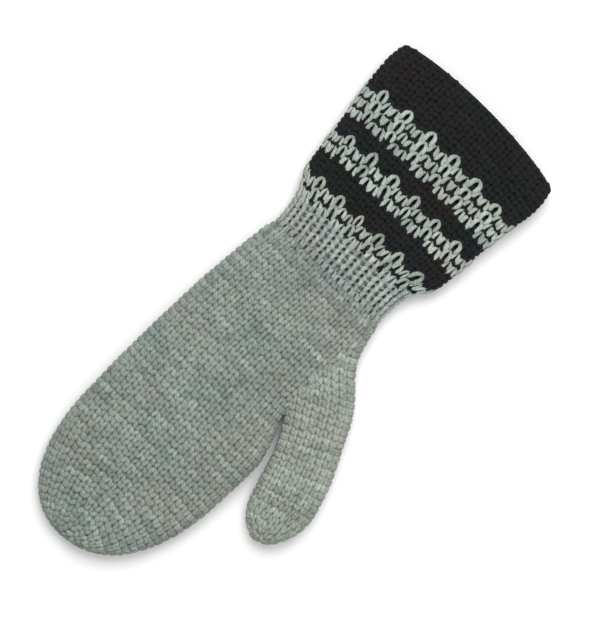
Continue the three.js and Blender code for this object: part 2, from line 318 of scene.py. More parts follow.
def read_body():
    """The skin of cuff, rib and hand. Its wales are counted from the little finger's fold."""
    skin = Skin(WALES, 1)
    rows = np.arange(0, (CUFF_ROWS + RIB_ROWS + HAND_ROWS) * 2 + 1) / 2
    stations = np.array([min(row_y(row), MOUTH - RIM_INSET) for row in rows])
    full = len(stations)
    closing = TIP + (TIP_START - TIP) * (1 - np.sin(np.linspace(0, math.pi / 2, TIP_STATIONS)[1:-1]))
    places = np.concatenate([stations, closing])
    sections = body_sections(places)
    rounds = np.array([section.round for section in sections])
    widths = rounds / WALES
    fixed = (places > RIB_END) | (places < FULL_HAND)
    widths = np.where(fixed, widths, np.interp(-places, -places[fixed], widths[fixed]))
    flat = skin.rows_of(sections, widths)
    in_rib = (places < CUFF_END) & (places > RIB_END)
    flat[in_rib] = without_ribs(flat[in_rib])
    tip = tip_grid(flat[full - 1:], np.array(tip_of("hand")), TIP_ROWS)
    skin.grid = np.concatenate([flat[:full], tip])
    room = np.where(np.isnan(rounds), WALES * widths, rounds) / widths / 2
    skin.limits = np.concatenate([room[:full], np.full(TIP_ROWS * 2, WALES / 2)])
    return skin


def without_ribs(grid):
    """Evens out ridges and grooves round the tube over two wales."""
    reach = COLUMNS_PER_WALE
    padded = np.pad(grid, ((0, 0), (reach, reach), (0, 0)), mode="edge")
    count = grid.shape[1]
    shifted = [padded[:, k:k + count] for k in range(2 * reach + 1)]
    weights = np.array([0.5] + [1.0] * (2 * reach - 1) + [0.5])
    return np.tensordot(weights / weights.sum(), np.array(shifted), axes=1)


def anything(point):
    return True


def near_hand(point):
    return point.x < seam_x(point.y) + HAND_PAST_SEAM


def beyond_seam(point):
    return point.y < CROTCH or point.x > seam_x(point.y) + THUMB_PAST_SEAM


def spine_points():
    """Even steps along the thumb's spine, with its corners rounded."""
    lengths = lengths_along(THUMB_SPINE)
    even = np.arange(0, lengths[-1], SPINE_STEP)
    path = np.stack([np.interp(even, lengths, THUMB_SPINE[:, axis]) for axis in range(2)], axis=1)
    return evened(path, SPINE_PASSES)


def read_thumb():
    """The skin of thumb and gusset. Its wales are counted from the outer fold."""
    skin = Skin(THUMB_WALES, -1)
    tree = tree_of("thumb")
    path = spine_points()
    end = len(path) - 1
    thumb_tip = tip_of("thumb")
    tip_start = len(path) - THUMB_TIP_STATIONS
    height = WIDEST_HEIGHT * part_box("thumb")[1].z
    straight_steps = range(0, tip_start, 2)
    sections = []
    for k in [*straight_steps, *range(tip_start, end)]:
        ahead = path[k + 1] - path[max(k - 1, 0)]
        across = Vector((-ahead[1], ahead[0], 0.0)).normalized()
        level = np.interp((end - k) * SPINE_STEP, [0, TIP_SINK], [thumb_tip.z, height])
        middle = Vector((path[k][0], path[k][1], level))
        sections.append(Section(round_section(tree, middle, across, beyond_seam)))
    straight_count = len(straight_steps)
    rounds = np.array([section.round for section in sections])
    full = rounds[~np.isnan(rounds)][0]
    widths = np.where(np.isnan(rounds), full, rounds) / THUMB_WALES
    flat = skin.rows_of(sections, widths)
    straight = flat[: straight_count + 1]
    rows = round(tip_start * SPINE_STEP / ROW_HEIGHT)
    places = np.linspace(0, straight_count, rows * 2 + 1)
    lower = np.minimum(places.astype(int), straight_count - 1)
    share = (places - lower)[:, None, None]
    half_rows = straight[lower] * (1 - share) + straight[lower + 1] * share
    tip = tip_grid(flat[straight_count:], np.array(thumb_tip), THUMB_TIP_ROWS)
    skin.grid = np.concatenate([half_rows, tip])
    skin.limits = np.full(len(skin.grid), THUMB_WALES / 2)
    skin.rows_before_tip = rows
    return skin


# Node trees

class Graph:
    """Fills a node tree. An input takes a plain value or another node's output."""

    def __init__(self, tree):
        self.tree = tree
        self.links = tree.links

    def add(self, kind, inputs=None, **settings):
        node = self.tree.nodes.new(kind)
        for name, value in settings.items():
            setattr(node, name, value)
        for key, value in (inputs or {}).items():
            self.feed(node.inputs[key], value)
        return node

    def feed(self, socket, value):
        if isinstance(value, bpy.types.NodeSocket):
            self.links.new(value, socket)
        elif isinstance(value, bpy.types.Node):
            self.links.new(value.outputs[0], socket)
        else:
            socket.default_value = value

    def math(self, operation, *values):
        return self.add("ShaderNodeMath", dict(enumerate(values)), operation=operation).outputs[0]

    def times(self, product, *factors):
        for factor in factors:
            product = self.math("MULTIPLY", product, factor)
        return product

    def minus(self, first, second):
        return self.math("SUBTRACT", first, second)

    def curve(self, factor, points):
        """A smooth curve through points (place, value), all from 0 to 1."""
        node = self.add("ShaderNodeFloatCurve", {"Value": factor})
        line = node.mapping.curves[0]
        line.points[0].location = points[0]
        line.points[1].location = points[-1]
        for place in points[1:-1]:
            line.points.new(*place)
        node.mapping.update()
        return node.outputs[0]

    def mix(self, factor, first, second, blend="MIX"):
        """Two colours mixed. The node holds sockets for other kinds of values before the colours."""
        node = self.add("ShaderNodeMix", data_type="RGBA", blend_type=blend)
        self.feed(node.inputs[0], factor)
        self.feed(node.inputs[6], first)
        self.feed(node.inputs[7], second)
        return node.outputs[2]

    def grey(self, value):
        return self.add("ShaderNodeCombineColor", {"Red": value, "Green": value, "Blue": value})

    def noise(self, where, scale, detail):
        inputs = {"Vector": where, "Scale": scale, "Detail": detail}
        return self.add("ShaderNodeTexNoise", inputs).outputs[0]

    def darkened(self, light, strength):
        """1 where light is 1, and less by strength where it is 0."""
        return self.minus(1.0, self.times(self.minus(1.0, light), strength))

    def factor(self):
        """How far along its curve a point lies, from 0 to 1."""
        return self.add("GeometryNodeSplineParameter").outputs["Factor"]

    def moved(self, curve, x, y, z):
        """A curve whose points lie at new places."""
        place = self.add("ShaderNodeCombineXYZ", {"X": x, "Y": y, "Z": z})
        return self.add("GeometryNodeSetPosition", {"Geometry": curve, "Position": place})

    def marked(self, curve, name, value, kind):
        """A curve whose points carry a value under a name."""
        return self.add(
            "GeometryNodeStoreNamedAttribute",
            {"Geometry": curve, "Name": name, "Value": value},
            data_type=kind,
            domain="POINT",
        )


def open_tree(name, kind, inputs, outputs):
    """A tree or node group with named sockets. Inputs are (name, socket type, default)."""
    tree = bpy.data.node_groups.new(name, kind)
    for label, socket_type, default in inputs:
        socket = tree.interface.new_socket(label, in_out="INPUT", socket_type=socket_type)
        if default is not None:
            socket.default_value = default
    for label, socket_type in outputs:
        tree.interface.new_socket(label, in_out="OUTPUT", socket_type=socket_type)
    graph = Graph(tree)
    return tree, graph, graph.add("NodeGroupInput").outputs, graph.add("NodeGroupOutput").inputs


GEOMETRY = "NodeSocketGeometry"
FLOAT = "NodeSocketFloat"
COUNT = "NodeSocketInt"
COLOR = "NodeSocketColor"
MATERIAL = "NodeSocketMaterial"

# A leg of a knit stitch, from the point of the V to its open end. Each row is (place, value).
LEG_SPREAD = [(0.0, 0.0), (0.3, 0.38), (0.7, 0.76), (1.0, 1.0)]
LEG_LIFT = [(0.0, 0.0), (0.2, 0.68), (0.5, 1.0), (0.8, 0.68), (1.0, 0.0)]
LEG_FULLNESS = [(0.0, 0.3), (0.2, 0.8), (0.5, 1.0), (0.8, 0.8), (1.0, 0.3)]

# A leg of a round loop, which shows as a ring
ROUND_SPREAD = [(0.0, 0.0), (0.12, 0.5), (0.3, 0.92), (0.5, 1.0), (0.75, 0.82), (1.0, 0.45)]
ROUND_LIFT = [(0.0, 0.6), (0.15, 0.95), (0.5, 1.0), (0.8, 0.65), (1.0, 0.0)]
ROUND_FULLNESS = [(0.0, 0.95), (0.3, 1.0), (0.6, 1.0), (0.85, 0.9), (1.0, 0.5)]

# A purl bump, from its middle to one end
BUMP_DROP = [(0.0, 0.0), (0.5, 0.25), (1.0, 1.0)]
BUMP_FULLNESS = [(0.0, 1.0), (0.6, 0.9), (1.0, 0.45)]


def yarn_along(graph, curves, sides, radius):
    """Yarn of a given radius round curves, closed at its ends, with its place on the strand kept in
    the attributes strand_length and strand_round."""
    strands = graph.marked(curves, "strand_length", graph.factor(), "FLOAT")
    circle = graph.add("GeometryNodeCurvePrimitiveCircle", {"Resolution": sides, "Radius": 1.0})
    turn = graph.times(graph.factor(), 2 * math.pi)
    x = graph.math("COSINE", turn)
    y = graph.math("SINE", turn)
    place = graph.add("ShaderNodeCombineXYZ", {"X": x, "Y": y})
    profile = graph.marked(circle, "strand_round", place, "FLOAT_VECTOR")
    return graph.add(
        "GeometryNodeCurveToMesh",
        {"Curve": strands, "Profile Curve": profile, "Scale": radius, "Fill Caps": True},
    )


def on_every_place(graph, places, stitch, material, result):
    """Sets a stitch on each point, turned and sized by the point's attributes, as one plain mesh."""
    vectors = {}
    for name in ("along", "outward", "size"):
        node = graph.add("GeometryNodeInputNamedAttribute", {"Name": name}, data_type="FLOAT_VECTOR")
        vectors[name] = node.outputs["Attribute"]
    turned = graph.add(
        "FunctionNodeAxesToRotation",
        {"Primary Axis": vectors["outward"], "Secondary Axis": vectors["along"]},
        primary_axis="Z",
        secondary_axis="Y",
    )
    copies = graph.add(
        "GeometryNodeInstanceOnPoints",
        {"Points": places, "Instance": stitch, "Rotation": turned, "Scale": vectors["size"]},
    )
    for name in vectors:
        copies = graph.add("GeometryNodeRemoveAttribute", {"Geometry": copies, "Name": name})
    real = graph.add("GeometryNodeRealizeInstances", {"Geometry": copies})
    smooth = graph.add("GeometryNodeSetShadeSmooth", {"Geometry": real})
    finished = graph.add("GeometryNodeSetMaterial", {"Geometry": smooth, "Material": material})
    graph.feed(result, finished)


def stitch_tree(name, sizes, sides, points, shape):
    """A tree that sets a stitch on every place. The stitch is yarn round a strand that shape bends;
    shape gives back the bent curves and the radius of their yarn."""
    inputs = [
        ("Places", GEOMETRY, None),
        *[(label, FLOAT, size) for label, size in sizes.items()],
        ("Sides", COUNT, sides),
        ("Points", COUNT, points),
        ("Yarn", MATERIAL, None),
    ]
    outputs = [("Stitches", GEOMETRY)]
    tree, graph, given, result = open_tree(name, "GeometryNodeTree", inputs, outputs)
    line = graph.add("GeometryNodeCurvePrimitiveLine")
    strand = graph.add("GeometryNodeResampleCurve", {"Curve": line, "Count": given["Points"]})
    curves, radius = shape(graph, given, strand)
    yarn = yarn_along(graph, curves, given["Sides"], radius)
    on_every_place(graph, given["Places"], yarn, given["Yarn"], result[0])
    return tree


KNIT_SIZES = {
    "Stitch Width": STITCH_WIDTH,
    "Row Height": ROW_HEIGHT,
    "Leg Rows": 1.46,
    "Yarn Radius": 1.38 * MM,
    "Arch": 2.0 * MM,
    "Point Gap": 0.09,
    "Open Gap": 0.4,
    "Roundness": 0.0,
}
PURL_SIZES = {
    "Bump Width": STITCH_WIDTH,
    "Yarn Radius": 1.0 * MM,
    "Droop": 0.8 * MM,
    "Sink": 1.2 * MM,
}
FIBRE_SIZES = {
    "Hair Length": 3.4 * MM,
    "Hair Radius": 0.045 * MM,
    "Hair Bend": 1.6 * MM,
    "Root Fullness": 1.15,
}


def knit_stitch(graph, given, strand):
    """A knit stitch: two fat legs of yarn that stand in a V, its point towards the mouth."""
    factor = graph.factor()

    def along_leg(plain, bowed):
        """A value along the leg, which turns from plain to bowed with the stitch's roundness."""
        straight = graph.curve(factor, plain)
        change = graph.minus(graph.curve(factor, bowed), straight)
        return graph.math("MULTIPLY_ADD", change, given["Roundness"], straight)

    opened = graph.minus(given["Open Gap"], given["Point Gap"])
    spread = along_leg(LEG_SPREAD, ROUND_SPREAD)
    share = graph.math("MULTIPLY_ADD", spread, opened, given["Point Gap"])
    x = graph.times(share, given["Stitch Width"])
    length = graph.times(given["Leg Rows"], given["Row Height"])
    y = graph.times(graph.minus(factor, 0.5), length)
    lift = graph.minus(along_leg(LEG_LIFT, ROUND_LIFT), 1.0)
    z = graph.times(lift, given["Arch"])
    legs = graph.add("GeometryNodeJoinGeometry")
    for side in (1, -1):
        graph.feed(legs.inputs[0], graph.moved(strand, graph.times(x, side), y, z))
    fullness = along_leg(LEG_FULLNESS, ROUND_FULLNESS)
    return legs, graph.times(fullness, given["Yarn Radius"])


def purl_bump(graph, given, strand):
    """A purl stitch: one short bump of yarn that lies across the wale and bends down at its ends."""
    across = graph.minus(graph.times(graph.factor(), 2.0), 1.0)
    outer = graph.math("ABSOLUTE", across)
    bend = graph.curve(outer, BUMP_DROP)
    x = graph.times(across, given["Bump Width"], 0.5)
    y = graph.times(bend, given["Droop"], -1.0)
    z = graph.times(bend, given["Sink"], -1.0)
    fullness = graph.curve(outer, BUMP_FULLNESS)
    return graph.moved(strand, x, y, z), graph.times(fullness, given["Yarn Radius"])


def fibre(graph, given, strand):
    """A single fibre of wool that stands off the yarn and bends over."""
    factor = graph.factor()
    bend = graph.times(factor, factor, given["Hair Bend"])
    reach = graph.times(factor, given["Hair Length"])
    fullness = graph.minus(given["Root Fullness"], factor)
    return graph.moved(strand, bend, 0.0, reach), graph.times(fullness, given["Hair Radius"])


# Where the stitches go

RANDOM = np.random.default_rng(7)
noise.seed_set(7)  # without it the wobble differs each time

YARN_DEPTH = 1.1 * MM  # how far under the skin the crest of a stitch's middle line lies
WOBBLE = 0.3 * MM  # how far hand knitting strays from even rows and wales
WOBBLE_SIZE = 22 * MM
STITCH_SLIP = np.array([0.14 * MM, 0.05, 0.07])  # stray to the side, along in rows, and turn
UNEVEN_SIZE = 0.05
UNEVEN_SHADE = 0.07
LEG_REACH = 0.34  # how far to its side a stitch's legs lie, in widths
YARN_REACH = 1.3 * MM
TURN_ABOUT = 0.22  # every other sector loses its stitches a little later
TIP_SECTORS = 8
THUMB_TIP_SECTORS = 3
LIMIT_SLACK = 0.02  # in wales

# Tones of the yarn, which drift along a row
TONE_DRIFT = 0.2
DRIFT_PER_WALE = 0.21
DRIFT_PER_ROW = 5.3
TWO_ROWS = 0.05  # every other row is this much lighter, and the rest darker
LIGHT_TONE, DARK_TONE, RIB_TONE, HAND_TONE, THUMB_TONE, RIM_TONE, INSIDE_TONE = range(1, 8)

# The seam of the gusset
SEAM_OVERLAP = 1.6 * MM
THUMB_OVERLAP = 2.3 * MM
NEAR_SEAM = 4 * MM
LEFT_OUT = 1.0 * MM  # near the seam, a stitch this far off the solids is left out
DRAWN_IN = 0.4 * MM  # a stitch of the thumb this far off them is moved onto them

# The cuff's light loops
LIGHT_PROUD = 0.35 * MM
COLUMN_PROUD = 0.8 * MM
LIGHT_SINK = 0.25  # rows that a light loop's middle lies nearer to the tip than its row
LIGHT_UNEVEN = [0.1, 0.07, 0.07]  # how far light loops differ in width, length and thickness

# The rib, and the rows of the hand in which it fades out
RIB_SHARE = 1.36  # width of a rib's knit wale, in stitches
RIDGE_DEPTH = 0.5 * MM
PURL_DEPTH = 1.7 * MM
# the purl bumps lie in the rib's grooves, and PURL_SHADE darkens their colour as painted shade
PURL_SHADE = 0.8
BORDER_SHADE = 0.25  # how much darker the rib would end, darkening over its last rows towards the hand
RIB_FADE_ROWS = 2  # rows of the rib in which its ridges sink
PLAIN_RIB_ROWS = 1  # rows at the end of the rib that are knitted as the hand is
NARROW = 0.8  # width of the stitches that follow the grooves in the rib's last row
FADING_ROWS = 4
FIRST_ROW_LIGHT = 0.1
# stitches of the hand's first rows that lie over the rib's grooves sink, and GROOVE_SHADE darkens them as
# painted shade
GROOVE_SHADE = 0.3
GROOVE_DEPTH = 0.9 * MM

# The mouth of the cuff
RIM_BACK = 0.9 * MM  # from the rim of the mouth to the middle of the yarn along it
HALF_WALL = 1.6 * MM
INSIDE_ROWS = 12
INSIDE_START = 7 * MM  # from here inside the tube a ray finds the inner skin
INSIDE_DEPTH = 0.3 * MM

# Hairs
HAIRS_PER_STITCH = 2
HAIR_TILT = 0.45  # how steeply hairs stand, 0 lies flat on the knitting
LOWEST_HAIR = -0.3  # stitches that face further down than this have no hairs
HAIR_ALONG = 0.5  # how far from a stitch's middle hairs start, in rows
HAIR_ASIDE = 2 * MM
HAIR_RISE = 0.8 * MM
HAIR_SIZES = (0.5, 1.3)
SLIGHTLY = 0.001  # keeps the way across a hair from being nothing


class Places:
    """Stitches of one piece: where each lies, which way it runs and how large it is."""

    def __init__(self):
        self.points = []
        self.alongs = []
        self.outwards = []
        self.sizes = []
        self.shades = []

    def add(self, place, depth=YARN_DEPTH, wide=1.0, long=1.0, thick=1.0, shade=1.0):
        """Adds a stitch, as uneven as hand knitting is. None goes below the floor."""
        point, along, outward, width, height = place
        side = np.cross(along, outward)
        side = side / np.linalg.norm(side)
        stray = np.array(noise.noise_vector(Vector(point / WOBBLE_SIZE))) * WOBBLE
        slip = RANDOM.normal(0.0, 1.0, 3) * STITCH_SLIP
        centre = point + stray - outward * depth + side * slip[0] + along * slip[1]
        reach = abs(side[2]) * width * wide * LEG_REACH + YARN_REACH
        centre[2] = max(centre[2], reach)
        self.points.append(centre)
        self.alongs.append(along + side * np.linalg.norm(along) * slip[2])
        self.outwards.append(outward)
        uneven = RANDOM.normal(1.0, UNEVEN_SIZE, 3)
        size = (width * wide / STITCH_WIDTH, height * long / ROW_HEIGHT, thick)
        self.sizes.append(np.array(size) * uneven)
        self.shades.append(shade * RANDOM.normal(1.0, UNEVEN_SHADE))


def tip_wales(skin, row, first_row, sectors, count):
    """Stitches of a row that closes a tip, as rows of number, place and width. Those of each sector
    stay in line with its first edge, and its last two share the room that is left."""
    room = count / sectors * ring_length(skin, row) / ring_length(skin, first_row)
    sector_wales = skin.wales / sectors
    start = (1 - count) / 2 * skin.wales / count
    found = []
    for sector in range(sectors):
        here = max(round(room + (TURN_ABOUT if sector % 2 else -TURN_ABOUT)), 1)
        plain = max(here - 2, 0)
        widths = np.array([1.0] * plain + [(room - plain) / (here - plain)] * (here - plain))
        middles = (np.cumsum(widths) - widths / 2) / room
        for k in range(here):
            place = start + sector_wales * (sector + middles[k])
            found.append((k, place, widths[k] / room * sector_wales))
    return found


def ring_length(skin, row):
    wales = np.linspace(-skin.wales / 2, skin.wales / 2, skin.wales * 2 + 1)
    return float(lengths_along(np.array([skin.at(row, wale) for wale in wales]))[-1])


def plain_wales(skin, row, count):
    """Stitches of a row that goes straight on, as rows of number, place and width."""
    half = count // 2
    pitch = skin.wales / count
    limit = skin.limit_at(row) + LIMIT_SLACK
    return [(k, k * pitch, pitch) for k in range(1 - half, half + 1) if abs(k * pitch) <= limit]


def rows_to_tip(skin, first_row, tip_row, tip_rows, sectors, count):
    """Every stitch from a row to the end of a tip: row, place and width."""
    found = []
    for index in range(first_row, tip_row + tip_rows):
        row = index + 0.5
        if index < tip_row:
            wales = plain_wales(skin, row, count)
        else:
            wales = tip_wales(skin, row, tip_row, sectors, count)
        found.extend((row, wale, width) for _, wale, width in wales)
    return found


def tone(row, wale, part):
    """How light the yarn of a stitch is. It runs along the row, so neighbours there are alike."""
    drift = noise.noise(Vector((wale * DRIFT_PER_WALE, row * DRIFT_PER_ROW, part))) * TONE_DRIFT
    return 1.0 + drift + (TWO_ROWS if row % 2 else -TWO_ROWS)


def off_knitting(point):
    """Whether a row that runs on past the gusset's seam has left the knitting."""
    near_seam = point[0] > seam_x(point[1]) - NEAR_SEAM
    return near_seam and WHOLE.find_nearest(Vector(point))[3] > LEFT_OUT


def drawn_in(place):
    """The same place, moved onto the knitting where it stands off it."""
    nearest = WHOLE.find_nearest(Vector(place[0]))
    return (np.array(nearest[0]), *place[1:]) if nearest[3] > DRAWN_IN else place


def cuff_places(skin, parts):
    for index in range(CUFF_ROWS):
        row = index + 0.5
        for k, wale, width in plain_wales(skin, row, WALES):
            if CHART[index][k % REPEAT] != "G":
                place = skin.frame_at(row, wale, width)
                parts["cuff_dark"].add(place, shade=tone(index, k, DARK_TONE))
                continue
            in_column = k % REPEAT == 0
            part = parts["cuff_columns" if in_column else "cuff_pairs"]
            depth = YARN_DEPTH - (COLUMN_PROUD if in_column else LIGHT_PROUD)
            place = skin.frame_at(row + LIGHT_SINK, wale, width)
            wide, long, thick = RANDOM.normal(1.0, LIGHT_UNEVEN)
            part.add(place, depth, wide, long, thick, tone(index, k, LIGHT_TONE))


def rib_places(skin, parts, rows):
    """Knit wales and purl grooves by turns. In the last row all are knit."""
    for index in rows:
        ending = max(index + 1 + RIB_FADE_ROWS - rows.stop, 0) / (RIB_FADE_ROWS + 1)
        border = 1 - ending * BORDER_SHADE
        for k, wale, width in plain_wales(skin, index + 0.5, WALES):
            place = skin.frame_at(index + 0.5, wale, width)
            shade = border * tone(index, k, RIB_TONE)
            if k % 2 == 0:
                depth = RIDGE_DEPTH + ending * (YARN_DEPTH - RIDGE_DEPTH)
                wide = RIB_SHARE + ending * (1 - RIB_SHARE)
                parts["rib_knit"].add(place, depth, wide, shade=shade)
            elif index == rows[-1]:
                parts["rib_knit"].add(place, YARN_DEPTH, NARROW, shade=shade)
            else:
                parts["rib_purl"].add(place, PURL_DEPTH, shade=PURL_SHADE * shade)


def hand_places(skin, parts, first_row):
    tip = (CUFF_ROWS + RIB_ROWS + HAND_ROWS, TIP_ROWS, TIP_SECTORS)
    for row, wale, width in rows_to_tip(skin, first_row, *tip, HAND_WALES):
        place = skin.frame_at(row, wale, width)
        point = place[0]
        beyond = point[1] > CROTCH and point[0] > seam_x(point[1]) + SEAM_OVERLAP
        if beyond or off_knitting(point):
            continue
        side = "hand_back" if place[2][2] >= 0 else "hand_palm"
        fade = max(1 - (row - first_row) / FADING_ROWS, 0.0)
        groove = (1 - math.cos(math.pi * wale)) / 2
        # painted shade: stitches over the rib's grooves are coloured darker
        light = 1 + fade * (FIRST_ROW_LIGHT - groove * GROOVE_SHADE)
        depth = YARN_DEPTH + fade * groove * GROOVE_DEPTH
        parts[side].add(place, depth, shade=light * tone(int(row), wale, HAND_TONE))


def body_places(skin):
    """Stitches of cuff, rib and hand, made in this order because each draws random values."""
    names = ["cuff_dark", "cuff_columns", "cuff_pairs", "rib_knit", "rib_purl", "hand_back", "hand_palm"]
    parts = {name: Places() for name in names}
    hand_start = CUFF_ROWS + RIB_ROWS - PLAIN_RIB_ROWS
    cuff_places(skin, parts)
    rib_places(skin, parts, range(CUFF_ROWS, hand_start))
    hand_places(skin, parts, hand_start)
    return parts


def thumb_places(skin):
    places = Places()
    tip = (skin.rows_before_tip, THUMB_TIP_ROWS, THUMB_TIP_SECTORS)
    for row, wale, width in rows_to_tip(skin, 0, *tip, THUMB_WALES):
        place = skin.frame_at(row, wale, width)
        point = place[0]
        before = point[1] > CROTCH and point[0] < seam_x(point[1]) - THUMB_OVERLAP
        if not before and not off_knitting(point):
            places.add(drawn_in(place), shade=tone(int(row), wale, THUMB_TONE))
    return places


def mouth_places(skin):
    """Loops of the first row, which lie over the rim of the mouth."""
    places = Places()
    for k, wale, width in plain_wales(skin, 0.5, WALES):
        _, along, outward, wide, _ = skin.frame_at(0.5, wale, width)
        rim = skin.at(0, wale) - outward * HALF_WALL
        mouthward = -along / np.linalg.norm(along)
        place = (rim, outward * ROW_HEIGHT, mouthward, wide, ROW_HEIGHT)
        places.add(place, RIM_BACK, shade=tone(0, k, RIM_TONE))
    return places


def inside_places(skin):
    """Bumps on the inner side of the cuff, as far in as the mouth lets one see."""
    places = Places()
    tree = tree_of("cuff")
    for index in range(INSIDE_ROWS):
        for k, wale, width in plain_wales(skin, index + 0.5, WALES):
            point, along, outward, wide, high = skin.frame_at(index + 0.5, wale, width)
            start = Vector(point - outward * INSIDE_START)
            hit = tree.ray_cast(start, Vector(outward), INSIDE_START)[0]
            if hit is not None:
                place = (np.array(hit), along, -outward, wide, high)
                places.add(place, INSIDE_DEPTH, shade=tone(index, k, INSIDE_TONE))
    return places


def hair_places(sources):
    """Fibres that start at random on the crests of stitches and lie every way."""
    places = Places()
    for source in sources:
        for point, along, outward in zip(source.points, source.alongs, source.outwards):
            if outward[2] < LOWEST_HAIR:
                continue
            for _ in range(HAIRS_PER_STITCH):
                flat = np.cross(outward, RANDOM.normal(size=3))
                flat = flat / np.linalg.norm(flat)
                way = flat + outward * HAIR_TILT * RANDOM.random()
                start = point + along * RANDOM.uniform(-HAIR_ALONG, HAIR_ALONG)
                start = start + np.cross(flat, outward) * RANDOM.uniform(-HAIR_ASIDE, HAIR_ASIDE)
                places.points.append(start + outward * HAIR_RISE)
                places.alongs.append(np.cross(way, flat) + flat * SLIGHTLY)
                places.outwards.append(way)
                places.sizes.append(np.full(3, RANDOM.uniform(*HAIR_SIZES)))
                places.shades.append(1.0)
    return places


def new_object(name, data):
    made = bpy.data.objects.new(name, data)
    bpy.context.scene.collection.objects.link(made)
    return made


def stitches(name, places, tree, sizes, material):
    """One piece of knitting: a plain mesh of every stitch at its place."""
    mesh = bpy.data.meshes.new(name + "_places")
    mesh.from_pydata([tuple(point) for point in places.points], [], [])
    for label, rows in (("along", places.alongs), ("outward", places.outwards), ("size", places.sizes)):
        attribute = mesh.attributes.new(label, "FLOAT_VECTOR", "POINT")
        attribute.data.foreach_set("vector", np.array(rows, dtype=np.float32).ravel())
    shade = mesh.attributes.new("shade", "FLOAT", "POINT")
    shade.data.foreach_set("value", np.array(places.shades, dtype=np.float32))
    holder = new_object(name + "_places", mesh)
    modifier = holder.modifiers.new("stitches", "NODES")
    modifier.node_group = tree
    items = [item for item in tree.interface.items_tree if item.in_out == "INPUT"]
    sockets = {item.name: item.identifier for item in items}
    for label, value in {**sizes, "Yarn": material}.items():
        modifier[sockets[label]] = value
    depsgraph = bpy.context.evaluated_depsgraph_get()
    result = bpy.data.meshes.new_from_object(holder.evaluated_get(depsgraph), depsgraph=depsgraph)
    bpy.data.objects.remove(holder)
    result.name = name
    return new_object(name, result)


# Wool

def srgb(colour):
    """A colour read off a screen, each channel from 0 to 255, as linear light."""
    return (*[linear(channel / 255) for channel in colour], 1.0)


def linear(share):
    return share / 12.92 if share <= 0.04045 else ((share + 0.055) / 1.055) ** 2.4


def new_material(name, roughness):
    """A material with its surface and the graph of its nodes."""
    material = bpy.data.materials.new(name)
    material.use_nodes = True
    surface = material.node_tree.nodes["Principled BSDF"]
    surface.inputs["Roughness"].default_value = roughness
    return material, surface, Graph(material.node_tree)


PATCH_EDGE = [(0.0, 0.0), (0.42, 0.04), (0.66, 0.95), (1.0, 1.0)]
# where along its strand the yarn dives under its neighbours; its colour is darkened there as painted shade
STRAND_DIVE = [(0.0, 0.0), (0.14, 0.25), (0.3, 0.9), (0.5, 1.0), (0.72, 0.88), (0.88, 0.25), (1.0, 0.0)]
PATCH_STRETCH = (0.55, 1.3, 1.0)  # patches are longer along the rows
COOL_SHIFT = (0.31, 0.17, 0.05)  # sets the cool patches elsewhere than the warm ones
MID_GREY = (0.5, 0.5, 0.5, 1)
LEAST_FIBRE = 0.75  # light where there is no fibre
FUZZ_PER_METRE = 900.0
FUZZ_SHADE = 0.8
LEAST_FUZZ = 0.6


def wool_group():
    """Colour and relief of spun wool: soft patches of two tints, painted shade that darkens the grooves
    between its plies, fine fibres, and painted shade where the yarn dives under its neighbours."""
    tree, graph, given, result = open_tree(
        "spun_wool",
        "ShaderNodeTree",
        [
            ("Wool", COLOR, MID_GREY),
            ("Warm Tint", COLOR, MID_GREY),
            ("Cool Tint", COLOR, MID_GREY),
            ("Patches per Metre", FLOAT, 45.0),
            ("Patch Strength", FLOAT, 0.6),
            ("Ply Turns", FLOAT, 2.5),
            ("Ply Shade", FLOAT, 0.25),
            ("Dive Shade", FLOAT, 0.72),
            ("Fibres per Metre", FLOAT, 2600.0),
            ("Fibre Shade", FLOAT, 0.5),
            ("Fibre Height", FLOAT, 0.35),
            ("Flecks per Metre", FLOAT, 480.0),
            ("Fleck Strength", FLOAT, 0.9),
        ],
        [("Color", COLOR), ("Height", FLOAT)],
    )
    where = graph.add("ShaderNodeTexCoord").outputs["Object"]
    rows = graph.add("ShaderNodeMapping", {"Vector": where, "Scale": PATCH_STRETCH})
    shifted = graph.add("ShaderNodeMapping", {"Vector": rows, "Location": COOL_SHIFT})
    colour = given["Wool"]
    for place, tint in ((rows, "Warm Tint"), (shifted, "Cool Tint")):
        patches = graph.curve(graph.noise(place, given["Patches per Metre"], 3.0), PATCH_EDGE)
        share = graph.times(patches, given["Patch Strength"])
        colour = graph.mix(share, colour, given[tint])
    length = graph.add("ShaderNodeAttribute", attribute_name="strand_length").outputs["Fac"]
    around = graph.add("ShaderNodeAttribute", attribute_name="strand_round").outputs["Vector"]
    shade = graph.add("ShaderNodeAttribute", attribute_name="shade").outputs["Fac"]
    parts = graph.add("ShaderNodeSeparateXYZ", {"Vector": around})
    turn = graph.times(length, given["Ply Turns"], 2 * math.pi)
    first = graph.times(graph.math("SINE", turn), parts.outputs["X"])
    second = graph.times(graph.math("COSINE", turn), parts.outputs["Y"])
    plies = graph.math("ABSOLUTE", graph.math("ADD", first, second))
    # painted shade in the grooves between the plies
    groove = graph.darkened(plies, given["Ply Shade"])
    # painted shade where the yarn dives under its neighbours
    painted_dive_shade = graph.darkened(graph.curve(length, STRAND_DIVE), given["Dive Shade"])
    fibres = graph.noise(where, given["Fibres per Metre"], 2.0)
    flecks = graph.noise(where, given["Flecks per Metre"], 3.0)
    fleck = graph.times(graph.minus(flecks, 0.5), given["Fleck Strength"])
    speck = graph.math("ADD", graph.math("MULTIPLY_ADD", fibres, given["Fibre Shade"], LEAST_FIBRE), fleck)
    value = graph.times(graph.times(groove, painted_dive_shade), graph.times(shade, speck))
    graph.feed(result["Color"], graph.mix(1.0, colour, graph.grey(value), "MULTIPLY"))
    graph.feed(result["Height"], graph.math("MULTIPLY_ADD", fibres, given["Fibre Height"], plies))
    return tree


